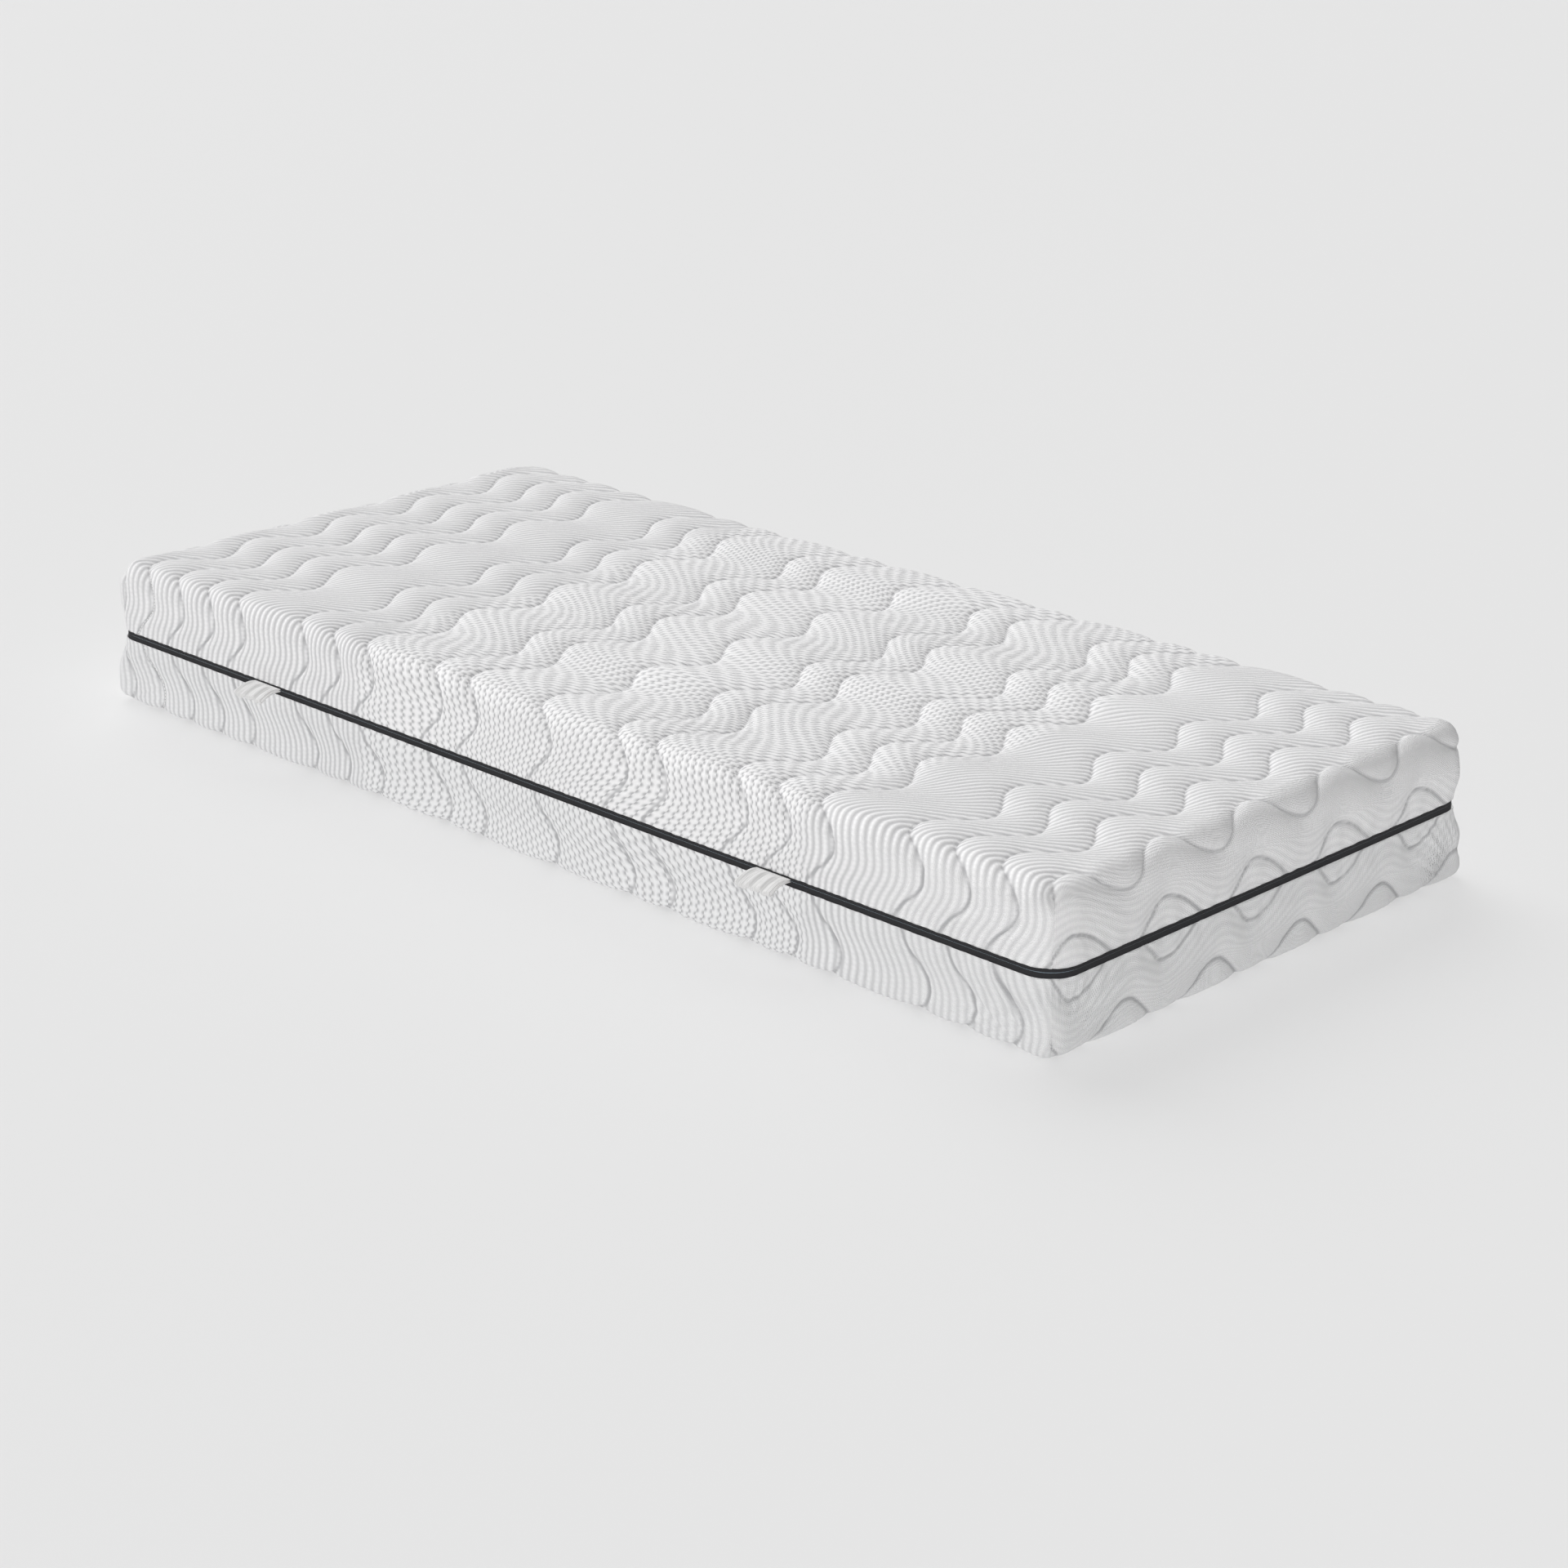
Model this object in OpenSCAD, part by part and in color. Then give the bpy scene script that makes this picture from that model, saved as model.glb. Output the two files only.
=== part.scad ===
// Memory foam mattress: a two-layer foam core in a quilted knit cover whose two
// halves are joined by a zip that runs all the way round at mid-height.
// X runs from head (-X) to foot (+X), Y across the width, Z up.
// The origin is at the centre of the underside.

/* [Overall] */
// Length from head to foot
mattress_l = 2000; // [1600:10:2400]
// Width
mattress_w = 900; // [700:10:1100]

/* [Foam core] */
// Thickness of the memory foam comfort layer on top
memory_t = 60; // [40:1:100]
// Thickness of the glue film between the two foams
glue_t = 0.5; // [0.3:0.1:1]
// Thickness of the support foam
support_t = 144.5; // [100:0.5:180]
// Width of one relief slot under the support foam
slot_w = 5; // [3:0.5:10]
// Depth of the relief slots
slot_depth = 30; // [15:1:45]
// Distance between neighbouring slots of one zone
slot_pitch = 80; // [50:5:120]

/* [Quilted cover] */
// Thickness of the knit face fabric
knit_t = 2.2; // [1:0.1:4]
// Thickness of the wadding under the knit
wadding_t = 11.2; // [8:0.2:16]
// Thickness of the backing fleece that faces the foam
backing_t = 0.6; // [0.4:0.1:1.2]
// Gap between neighbouring layers of the quilt
layer_gap = 0.3; // [0.2:0.05:0.5]
// Clearance between the backing and the foam
foam_ease = 0.4; // [0.2:0.1:2]
// Radius of the four upright corners
corner_r = 55; // [40:1:90]
// Radius of the edges round the top and the underside
edge_r = 38; // [30:1:50]
// How far the cover is drawn in at the zip
waist_pinch = 6; // [3:0.5:7]
// Height of the straight hem beside the zip
hem_h = 8; // [6:0.5:12]
// Height over which the side swells out again
swell_h = 20; // [12:1:30]

/* [Zip] */
// Height of the zip that shows between the two hems
zip_band = 12; // [11:0.5:18]
// Width of one zip tape from the middle of the zip
tape_w = 14; // [12:0.5:16]
// Thickness of the tape
tape_t = 0.8; // [0.5:0.1:1.2]
// Gap between the two tapes, where the slider's bridge passes
chain_gap = 1.6; // [1.4:0.1:2.4]
// Width of the coil sewn behind one tape
coil_w = 2; // [1.5:0.1:3]
// Thickness of the coil
coil_t = 1.6; // [1.2:0.1:2]
// Clearance of the slider to the tape and the coil
slider_clear = 0.3; // [0.2:0.05:0.4]
// Length of the slider along the zip
slider_l = 13; // [11:0.5:16]
// Height of the slider across the zip
slider_h = 9; // [8:0.5:10]
// Thickness of the slider's front plate
front_plate_t = 1.6; // [1.2:0.1:1.8]
// Thickness of the slider's back plate
back_plate_t = 1; // [0.8:0.1:1.2]
// Distance from the side to the slider when the cover is closed
slider_from_side = 150; // [145:5:250]
// Length of the pull tab
pull_l = 26; // [16:1:32]
// Height of the pull tab
pull_h = 5; // [4.6:0.1:5.4]
// Radius of the pull's hinge pin
pull_pin_r = 0.6; // [0.5:0.05:0.7]
// Radial clearance of that pin in the slider's lug
pull_pin_clear = 0.05; // [0.03:0.01:0.08]
// Distance between the last stop and the start of the next chain
chain_break = 35; // [20:1:50]

/* [Handles and label] */
// Width of a carrying loop
handle_w = 64; // [40:1:90]
// How far a loop reaches out from the seam
handle_reach = 42; // [30:1:60]
// Thickness of the loop's webbing
webbing_t = 1.6; // [1:0.1:2]
// Radius of the loop's rounded end
loop_r = 5.5; // [5:0.1:7]
// Angle at which a loop droops
handle_droop = 14; // [0:1:30]
// Distance from the head end to the first loop
handle_from_head = 416; // [250:1:600]
// Distance from the foot end to the second loop
handle_from_foot = 489; // [250:1:600]
// Width of the blank care label
label_w = 40; // [25:1:48]
// Length of the label below its seam
label_l = 26; // [18:1:28]
// Thickness of the folded label
label_t = 0.8; // [0.5:0.1:1]
// Distance from the side to the middle of the label on the head end
label_from_side = 85; // [80:1:88]

/* [Hidden] */

// Layers of the quilt, as distances in from the outer face
wadding_in = knit_t + layer_gap;
backing_in = wadding_in + wadding_t + layer_gap;
core_in = backing_in + backing_t + foam_ease;

// Heights
core_h = support_t + glue_t + memory_t;
half_h = core_h / 2 + core_in;
zip_z = half_h;
glue_z = core_in + support_t;
hem_top = zip_band / 2 + hem_h;
swell_top = hem_top + swell_h;
quilt_start = max(tape_w, zip_band / 2) + 1;

// Depths of the zip, in from the outer face
tape_in = waist_pinch + knit_t + layer_gap;
coil_in = tape_in + tape_t + 0.1;
front_plate_in = tape_in - slider_clear - front_plate_t;
back_plate_in = coil_in + coil_t + slider_clear;
lug_h = 2.9;
lug_l = 3;
lug_w = 2.6;
pull_axis_in = front_plate_in - 1.4;
bridge_w = chain_gap - 2 * slider_clear;
bridge_l = 2;

// Places along the head end
slider_y = mattress_w / 2 - slider_from_side;
label_y = mattress_w / 2 - label_from_side;
stop_l = 2.5;
stop_y = slider_y + slider_l / 2 + 0.7;
chain_start_y = stop_y + stop_l + chain_break;

// Hinge of the loops and of the label
loop_root_r = webbing_t + 0.1;
loop_root_in = waist_pinch - 1 - loop_root_r;
loop_root_z = 4.5;
label_root_in = waist_pinch - 1.4;
label_root_z = 2.5;
label_tilt = 6.5;

far = mattress_l + mattress_w;
$fn = 64;
soft_fn = 32;

// Plan outline of the cover, moved in by a distance; the corners are true arcs
module plan_outline(inset) {
    r = corner_r - inset;
    l = mattress_l - 2 * inset;
    w = mattress_w - 2 * inset;
    square([l - 2 * r, w], center = true);
    square([l, w - 2 * r], center = true);
    for (x = [-1, 1], y = [-1, 1])
        translate([x * (l / 2 - r), y * (w / 2 - r)]) circle(r);
}

// One child at each of the four upright corners' centres
module at_corners() {
    for (x = [-1, 1], y = [-1, 1])
        translate([x * (mattress_l / 2 - corner_r), y * (mattress_w / 2 - corner_r), 0])
            children();
}

// Side view of one upright corner post from its axis outwards: its foot, the
// points up its side, and the arc that rounds the edge above
module post(inset, side_points) {
    e = edge_r - inset;
    arc_x = corner_r - edge_r;
    top_z = half_h - inset;
    arc_steps = 8;
    arc = [for (i = [0:arc_steps]) let (a = 90 * i / arc_steps)
        [arc_x + e * cos(a), top_z - e + e * sin(a)]];
    foot_z = side_points[0][1];
    rotate_extrude($fn = soft_fn)
        polygon(concat([[0, foot_z]], side_points, arc, [[0, top_z]]));
}

// Upper half of the mattress above the zip line, moved in by a distance, with
// straight sides
module straight_block(inset) {
    hull() at_corners() post(inset, [[corner_r - inset, -1]]);
}

// The same half with its sides drawn in at the zip
module waisted_block(inset) {
    r = corner_r - inset;
    hull() at_corners() post(inset, [[r - waist_pinch, hem_top], [r, swell_top]]);
    hull() at_corners() translate([0, 0, -1])
        cylinder(hem_top + 1, r = r - waist_pinch, $fn = soft_fn);
}

// A half cover's layer: the first child less the second, open below a height
module layer_above(start) {
    difference() {
        children(0);
        translate([0, 0, -0.01]) children(1);
        translate([-far / 2, -far / 2, start - far]) cube(far);
    }
}

module upper_half() {
    translate([0, 0, zip_z]) children();
}

module lower_half() {
    translate([0, 0, zip_z]) mirror([0, 0, 1]) children();
}

module knit_layer() {
    layer_above(zip_band / 2) {
        waisted_block(0);
        waisted_block(knit_t);
    }
}

module wadding_layer() {
    layer_above(quilt_start) {
        waisted_block(wadding_in);
        straight_block(wadding_in + wadding_t);
    }
}

module backing_layer() {
    layer_above(quilt_start) {
        straight_block(backing_in);
        straight_block(backing_in + backing_t);
    }
}

// Band that runs all the way round between two depths and two heights
module round_band(depth_a, depth_b, z_a, z_b) {
    translate([0, 0, z_a]) linear_extrude(z_b - z_a) difference() {
        plan_outline(depth_a);
        plan_outline(depth_b);
    }
}

module tape_band() {
    round_band(tape_in, tape_in + tape_t, chain_gap / 2, tape_w);
}

// The coil stops short of the break where the slider is threaded on
module coil_band() {
    difference() {
        round_band(coil_in, coil_in + coil_t, chain_gap / 2, chain_gap / 2 + coil_w);
        translate([-mattress_l / 2, stop_y - 0.2, -1])
            cube([corner_r, chain_start_y - stop_y + 0.4, tape_w]);
    }
}

// Puts a child on the head end: its X runs along -Y, its Y up from the zip
// line, and its Z outwards from the outer face
module on_head_end(y) {
    translate([-mattress_l / 2, y, zip_z]) rotate([90, 0, -90]) children();
}

// Two clips folded over the edge of one tape, at the end and the start of the chain
module stop_clips() {
    skin = 0.45;
    wrap_w = 2.4;
    for (y = [stop_y + stop_l / 2, chain_start_y - stop_l / 2])
        on_head_end(y) translate([0, 0, -tape_in - tape_t / 2]) difference() {
            translate([-stop_l / 2, chain_gap / 2 - 0.6, -tape_t / 2 - skin])
                cube([stop_l, wrap_w + 0.6, tape_t + 2 * skin]);
            translate([-stop_l, chain_gap / 2 - 0.05, -tape_t / 2 - 0.05])
                cube([2 * stop_l, wrap_w + 1, tape_t + 0.1]);
        }
}

// Plan of one slider plate, narrow at the end that the closed chain leaves from
module plate_outline() {
    nose_r = 2;
    tail_h = slider_h * 0.72;
    hull() {
        for (y = [-1, 1]) {
            translate([-slider_l / 2 + nose_r, y * (slider_h / 2 - nose_r)]) circle(nose_r);
            translate([slider_l / 2 - nose_r, y * (tail_h / 2 - nose_r)]) circle(nose_r);
        }
    }
}

module slider() {
    on_head_end(slider_y) {
        difference() {
            union() {
                translate([0, 0, -front_plate_in - front_plate_t])
                    linear_extrude(front_plate_t) plate_outline();
                translate([-lug_l / 2, -lug_w / 2, -front_plate_in - 0.01])
                    cube([lug_l, lug_w, lug_h]);
            }
            translate([0, lug_w, -pull_axis_in]) rotate([90, 0, 0])
                cylinder(2 * lug_w, r = pull_pin_r + pull_pin_clear);
        }
        translate([0, 0, -back_plate_in - back_plate_t])
            linear_extrude(back_plate_t) plate_outline();
        translate([-slider_l / 2 + 0.5, -bridge_w / 2, -back_plate_in - 0.01])
            cube([bridge_l, bridge_w, back_plate_in - front_plate_in - front_plate_t + 0.02]);
    }
}

// Fork, pin and tab; the tab lies back over the closed chain
module pull() {
    ear_t = 0.9;
    ear_gap = lug_w / 2 + 0.1;
    tab_t = 1;
    tab_start = lug_l / 2 + 0.8;
    on_head_end(slider_y) translate([0, 0, -pull_axis_in]) {
        translate([0, ear_gap + ear_t, 0]) rotate([90, 0, 0])
            cylinder(2 * (ear_gap + ear_t), r = pull_pin_r);
        for (y = [ear_gap, -ear_gap - ear_t]) {
            translate([0, y + ear_t, 0]) rotate([90, 0, 0]) cylinder(ear_t, r = 1);
            translate([0, y, -tab_t / 2]) cube([tab_start + 1, ear_t, tab_t]);
        }
        translate([tab_start, 0, -tab_t / 2]) linear_extrude(tab_t) difference() {
            union() {
                translate([0, -pull_h / 2]) square([pull_l - tab_start - pull_h / 2, pull_h]);
                translate([pull_l - tab_start - pull_h / 2, 0]) circle(pull_h / 2);
            }
            translate([pull_l - tab_start - pull_h / 2, 0]) circle(pull_h / 4);
        }
    }
}

// Side view of a loop: two runs of webbing from the seam round one end
module loop_outline() {
    tip_x = handle_reach - loop_r - loop_root_r;
    difference() {
        hull() {
            circle(loop_root_r, $fn = soft_fn);
            translate([tip_x, 0]) circle(loop_r, $fn = soft_fn);
        }
        hull() {
            translate([loop_root_r + webbing_t, 0]) circle(0.1, $fn = soft_fn);
            translate([tip_x, 0]) circle(loop_r - webbing_t, $fn = soft_fn);
        }
    }
}

// Loop on the long side that faces -Y
module handle_loop(x) {
    translate([x + handle_w / 2, -mattress_w / 2 + loop_root_in, zip_z + loop_root_z])
        rotate([handle_droop, 0, 0]) rotate([90, 0, -90])
            linear_extrude(handle_w) loop_outline();
}

handle_head_x = -mattress_l / 2 + handle_from_head;
handle_foot_x = mattress_l / 2 - handle_from_foot;

// The rounded block that the whole core is cut from
module core_block() {
    upper_half() straight_block(core_in);
    lower_half() straight_block(core_in);
}

// Places of the relief slots along one half of the support foam, by zone,
// counted out from the middle; a zone border is a wider space
slot_groups = [[0.5, 1.5], [3, 4], [5.5, 6.5], [8, 9, 10]];

module relief_slots() {
    for (side = [-1, 1], group = slot_groups, place = group)
        if (place * slot_pitch < mattress_l / 2 - core_in - corner_r)
            translate([side * place * slot_pitch - slot_w / 2, -mattress_w / 2, 0])
                cube([slot_w, mattress_w, core_in + slot_depth]);
}

module lower_knit() {
    color("gainsboro") lower_half() knit_layer();
}

module lower_wadding() {
    color("white") lower_half() wadding_layer();
}

module lower_backing() {
    color("silver") lower_half() backing_layer();
}

module zip_tape_lower() {
    color("dimgray") lower_half() tape_band();
}

module zip_coil_lower() {
    color("black") lower_half() coil_band();
}

module zip_stops_lower() {
    color("gray") translate([0, 0, 2 * zip_z]) mirror([0, 0, 1]) stop_clips();
}

module support_foam() {
    color("lightblue") difference() {
        core_block();
        translate([-far / 2, -far / 2, glue_z]) cube(far);
        relief_slots();
    }
}

module glue_layer() {
    color("khaki") translate([0, 0, glue_z]) linear_extrude(glue_t) plan_outline(core_in);
}

module memory_foam() {
    color("lightyellow") difference() {
        core_block();
        translate([-far / 2, -far / 2, glue_z + glue_t - far]) cube(far);
    }
}

module upper_knit() {
    color("whitesmoke") upper_half() knit_layer();
}

module upper_wadding() {
    color("white") upper_half() wadding_layer();
}

module upper_backing() {
    color("silver") upper_half() backing_layer();
}

module zip_tape_upper() {
    color("dimgray") upper_half() tape_band();
}

module zip_coil_upper() {
    color("black") upper_half() coil_band();
}

module zip_stops_upper() {
    color("gray") stop_clips();
}

module zip_slider() {
    color("slategray") slider();
}

module zip_pull() {
    color("slategray") pull();
}

module handle_front_head() {
    color("lightgray") handle_loop(handle_head_x);
}

module handle_front_foot() {
    color("lightgray") handle_loop(handle_foot_x);
}

module handle_back_head() {
    color("lightgray") mirror([0, 1, 0]) handle_loop(handle_head_x);
}

module handle_back_foot() {
    color("lightgray") mirror([0, 1, 0]) handle_loop(handle_foot_x);
}

// Folded blank label that hangs from the seam over the lower half
module care_label() {
    color("white") on_head_end(label_y) translate([0, label_root_z, -label_root_in])
        rotate([-label_tilt, 0, 0]) translate([-label_w / 2, -label_l, -label_t / 2])
            cube([label_w, label_l, label_t]);
}

lower_knit();
lower_wadding();
lower_backing();
zip_tape_lower();
zip_coil_lower();
zip_stops_lower();
support_foam();
glue_layer();
memory_foam();
upper_knit();
upper_wadding();
upper_backing();
zip_tape_upper();
zip_coil_upper();
zip_stops_upper();
zip_slider();
zip_pull();
handle_front_head();
handle_front_foot();
handle_back_head();
handle_back_foot();
care_label();
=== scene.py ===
"""Looks of a memory foam mattress: a quilted knit cover in two halves with a zip
all round, carrying loops, a label, and the foam core inside."""
import math

import bmesh
import bpy
import numpy as np
from mathutils import Matrix, Vector, noise


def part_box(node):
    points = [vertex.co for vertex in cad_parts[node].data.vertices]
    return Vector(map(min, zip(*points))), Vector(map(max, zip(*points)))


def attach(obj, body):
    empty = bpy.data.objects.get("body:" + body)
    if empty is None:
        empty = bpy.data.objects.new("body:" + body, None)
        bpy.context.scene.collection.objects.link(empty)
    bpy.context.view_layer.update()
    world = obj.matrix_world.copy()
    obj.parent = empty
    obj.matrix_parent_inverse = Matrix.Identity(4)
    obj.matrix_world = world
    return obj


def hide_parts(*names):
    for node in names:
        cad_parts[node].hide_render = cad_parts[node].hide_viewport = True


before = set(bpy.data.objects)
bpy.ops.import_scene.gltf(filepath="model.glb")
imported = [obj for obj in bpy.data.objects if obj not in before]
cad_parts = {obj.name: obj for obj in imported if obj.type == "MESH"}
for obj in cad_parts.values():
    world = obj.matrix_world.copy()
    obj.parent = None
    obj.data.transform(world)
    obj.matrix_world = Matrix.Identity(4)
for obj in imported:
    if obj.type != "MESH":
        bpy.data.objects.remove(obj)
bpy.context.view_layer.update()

bl_info = {
    "name": "Memory Foam Mattress",
    "version": (1, 0, 0),
    "blender": (4, 5, 0),
    "location": "View3D > Sidebar > Mattress",
    "description": "Quilted cover, zip, loops and foam of a memory foam mattress",
    "category": "Add Mesh",
}

KNIT_LOW, KNIT_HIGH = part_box("upper_knit")
HALF_L, HALF_W = KNIT_HIGH[0], KNIT_HIGH[1]
TOP_Z = KNIT_HIGH[2]
ZIP_Z = TOP_Z / 2
HEM_H = KNIT_LOW[2] - ZIP_Z + 0.0008

# Quilting lines are numbered from the head end. Where a cell is two wide, its line is skipped,
# and the lines next to the foot stand further apart.
LINE_NUMBERS = range(-2, 28)
SKIPPED_LINES = (5, 9, 12, 14, 17, 21)
LAST_EVEN_LINE = 24
FOOT_LINE_EXTRA = 0.009

# Places along the length where a zone of the knit starts, is full, starts to fade and ends
WAFFLE_ZONE = (-0.46, -0.30, 0.50, 0.66)
SWIRL_ZONE = (-0.52, -0.25, 0.50, 0.72)

# Depths under the smooth cover: the lining stays outside the backing fleece, and a stitch
# stays outside the lining, or outside the zip tape where that lies behind it
LINING_DEPTH = 0.0131
DEEPEST = 0.0120
DEEPEST_AT_TAPE = 0.0078
TAPE_TOP = (0.0150, 0.0260)

# How far the cover may stand proud beside the zip, and how much more away from it
PROUD_AT_ZIP = 0.0003
PROUD_MORE = 0.0014

# The hem, as rings of distance in from it and height over the zip: folded in, up behind
# the knit in front of the tape, and over the tape
HEM_RINGS = ((0.0009, HEM_H + 0.0001), (0.0021, HEM_H + 0.0008),
             (0.0021, 0.0146), (0.0062, 0.0152))
LINING_ANGLES = (0.0, 22.5, 45.0, 67.5, 90.0)

# Mesh steps along the top and down the sides, and the length over which the mesh rows that
# follow the quilting lines straighten towards a corner
ROW_STEP = 0.0034
SIDE_STEP = 0.0036
STRAIGHTEN = 0.09

# Creases: gathers beside the zip, pulls out of the corners, and the groove of a corner seam
GATHER_HEIGHT = 0.0008
GATHER_LENGTH = 0.034
PULL_HEIGHT_UPPER = 0.0007
PULL_HEIGHT_LOWER = 0.0023
HEAD_PULL_SHARE = 0.35
SEAM_DEPTH = 0.0026
SEAM_WIDTH = 0.0035

# Threads and weaves that are in the materials; the stitches are drawn on one line, by number
YARN_ACROSS = 0.0030
YARN_ALONG = 0.0026
STITCH_LENGTH = 0.0052
THREAD_HALF = (0.0006, 0.0013)
THREADED_LINE = 1.0
LOOP_RIB = 0.0032
LOOP_PICK = 0.0016
TAPE_TWILL = 0.0016
TAPE_ROW = 0.0012
COIL_TURN = 0.0015
LABEL_YARN = 0.0007

FLOOR_Z = -0.0005
FLOOR_HALF = 150.0

# Lamps: direction of their light, apparent size in degrees, and whether they cast shadows
LAMPS = {
    "key": ((0.75, -0.16, -0.58), 24, False),
    "ground": ((0.70, -0.30, -0.65), 50, True),
    "side_fill": ((0.74, 0.68, -0.20), 24, False),
    "foot_fill": ((-0.55, 0.78, -0.24), 24, False),
}

WADDING_COLOUR = (0.86, 0.86, 0.86)
LOOP_COLOUR = (0.78, 0.775, 0.77)
LOOP_COLUMNS = 33
LOOP_THICKNESS = 0.0014


# ---------------------------------------------------------------- settings

def length(name, text, default, **extra):
    return bpy.props.FloatProperty(
        name=name, description=text, default=default, unit="LENGTH", **extra)


def share(name, text, default, **extra):
    return bpy.props.FloatProperty(name=name, description=text, default=default, **extra)


def colour(name, text, default):
    return bpy.props.FloatVectorProperty(
        name=name, description=text, default=default, subtype="COLOR", size=3, min=0.0, max=1.0)


class QuiltSettings(bpy.types.PropertyGroup):
    line_pitch: length("Line pitch", "Distance between neighbouring quilting lines", 0.0787)
    first_line: length("First line", "Place of the line nearest the head end", -0.983)
    lower_shift: length(
        "Lower shift", "How far the lower half's lines stand nearer the foot", 0.015)
    wave_height: length("Wave height", "Half the sideways swing of a line", 0.027)
    wave_length: length("Wave length", "Length of one wave across the width", 0.1815)
    wave_start: length("Wave start", "Place across the width of one foot-side peak", -0.479)
    wave_skew: share("Wave skew", "Share of a wave spent on its slow side", 0.58)
    end_skew: share("End skew", "Share of a wave spent on that side on the ends", 0.40)
    stitch_depth: length("Stitch depth", "How deep a line sinks into the wadding", 0.0090)
    side_depth: length("Side depth", "How deep a line sinks on the sides", 0.0078)
    rib_pitch: length("Rib pitch", "Distance between neighbouring ribs of the knit", 0.0132)
    dash_pitch: length("Dash pitch", "Length of one dash of a rib", 0.0076)
    block_pitch: length("Block pitch", "Distance between rows of the waffle", 0.0124)
    rib_height: length("Rib height", "Height of the ribs of the knit", 0.0012)
    pucker: length("Pucker", "Height of the creases beside a line", 0.0007)
    top_shift: length("Top shift", "How far the lines on the face stand nearer the head", 0.016)
    mesh_step: length("Mesh step", "Distance between rows of the cover's mesh", 0.004)
    edge_radius: length("Edge radius", "Radius of the edge round the top", 0.038)
    lower_edge_radius: length("Lower edge radius", "Radius of the edge round the underside", 0.026)
    corner_radius: length("Corner radius", "Radius of the upright corners at the zip", 0.055)
    waist: length("Waist", "How far the cover is drawn in at the zip", 0.006)


class FinishSettings(bpy.types.PropertyGroup):
    knit: colour("Knit", "Colour of the knit on the upper half", (0.89, 0.885, 0.89))
    knit_lower: colour("Lower knit", "Colour of the knit on the lower half", (0.84, 0.84, 0.845))
    # Colour of the painted shade between the ribs of the knit, in the waffle's holes and in the
    # quilting valleys
    painted_hollow_shade: colour("Knit hollow", "Colour between the ribs of the knit", (0.44, 0.44, 0.45))
    thread: colour("Thread", "Colour of the quilting thread", (0.88, 0.875, 0.87))
    tape: colour("Zip tape", "Colour of the zip tape", (0.026, 0.026, 0.028))
    lining: colour("Lining", "Colour of the backing fleece", (0.74, 0.74, 0.73))
    memory_foam: colour("Memory foam", "Colour of the comfort layer", (0.80, 0.76, 0.61))
    support_foam: colour("Support foam", "Colour of the support foam", (0.50, 0.63, 0.74))
    metal: colour("Slider", "Colour of the lacquered slider", (0.055, 0.055, 0.06))


class StageSettings(bpy.types.PropertyGroup):
    lens: bpy.props.FloatProperty(
        name="Lens", description="Focal length", default=78.2, unit="CAMERA")
    azimuth: share("Azimuth", "Camera's turn round the mattress in degrees", 44.82)
    elevation: share("Elevation", "Camera's height angle in degrees", 20.47)
    camera_place: bpy.props.FloatVectorProperty(
        name="Camera place", description="Where the camera stands",
        default=(3.4599, -3.3946, 1.8054), subtype="TRANSLATION", size=3)
    sky: share("Sky", "Strength of the even studio light", 0.38)
    ground: share(
        "Ground light", "Strength of the wide light that casts the contact shadow", 0.72)
    key: share("Key", "Strength of the soft key light", 1.78)
    side_fill: share("Side fill", "Strength of the light on the long side", 0.40)
    foot_fill: share("Foot fill", "Strength of the light on the foot end", 1.30)
    floor: colour("Floor", "Colour of the floor", (0.785, 0.785, 0.785))


def settings(name):
    return getattr(bpy.context.scene, "mattress_" + name)


# ---------------------------------------------------------------- shader net

class Signal:
    """A number that varies over a surface; arithmetic on it adds Math nodes."""

    def __init__(self, net, socket):
        self.net, self.socket = net, socket

    def maths(self, operation, *values):
        node = self.net.add("ShaderNodeMath", {"operation": operation}, dict(enumerate(values)))
        return Signal(self.net, node.outputs[0])

    def __add__(self, other): return self.maths("ADD", self, other)
    def __radd__(self, other): return self.maths("ADD", other, self)
    def __sub__(self, other): return self.maths("SUBTRACT", self, other)
    def __rsub__(self, other): return self.maths("SUBTRACT", other, self)
    def __mul__(self, other): return self.maths("MULTIPLY", self, other)
    def __rmul__(self, other): return self.maths("MULTIPLY", other, self)
    def __truediv__(self, other): return self.maths("DIVIDE", self, other)
    def __rtruediv__(self, other): return self.maths("DIVIDE", other, self)
    def __pow__(self, other): return self.maths("POWER", self, other)
    def __rpow__(self, other): return self.maths("POWER", other, self)

    def wave(self, period):
        """A smooth swing from 0 to 1 and back over each period."""
        return (self * (2 * math.pi / period)).sine() * 0.5 + 0.5

    def sine(self): return self.maths("SINE", self)
    def floor(self): return self.maths("FLOOR", self)
    def size(self): return self.maths("ABSOLUTE", self)
    def parity(self): return self.maths("FLOORED_MODULO", self.floor(), 2.0)

    def rise(self, low, high):
        node = self.net.add("ShaderNodeMapRange", {"interpolation_type": "SMOOTHSTEP"},
                            {"Value": self, "From Min": low, "From Max": high})
        return Signal(self.net, node.outputs["Result"])

    def stagger(self, pitch, step):
        """Half a step on every other row of that pitch, and nothing on the rest."""
        return (self / pitch + 0.25).parity() * (step / 2)


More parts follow.
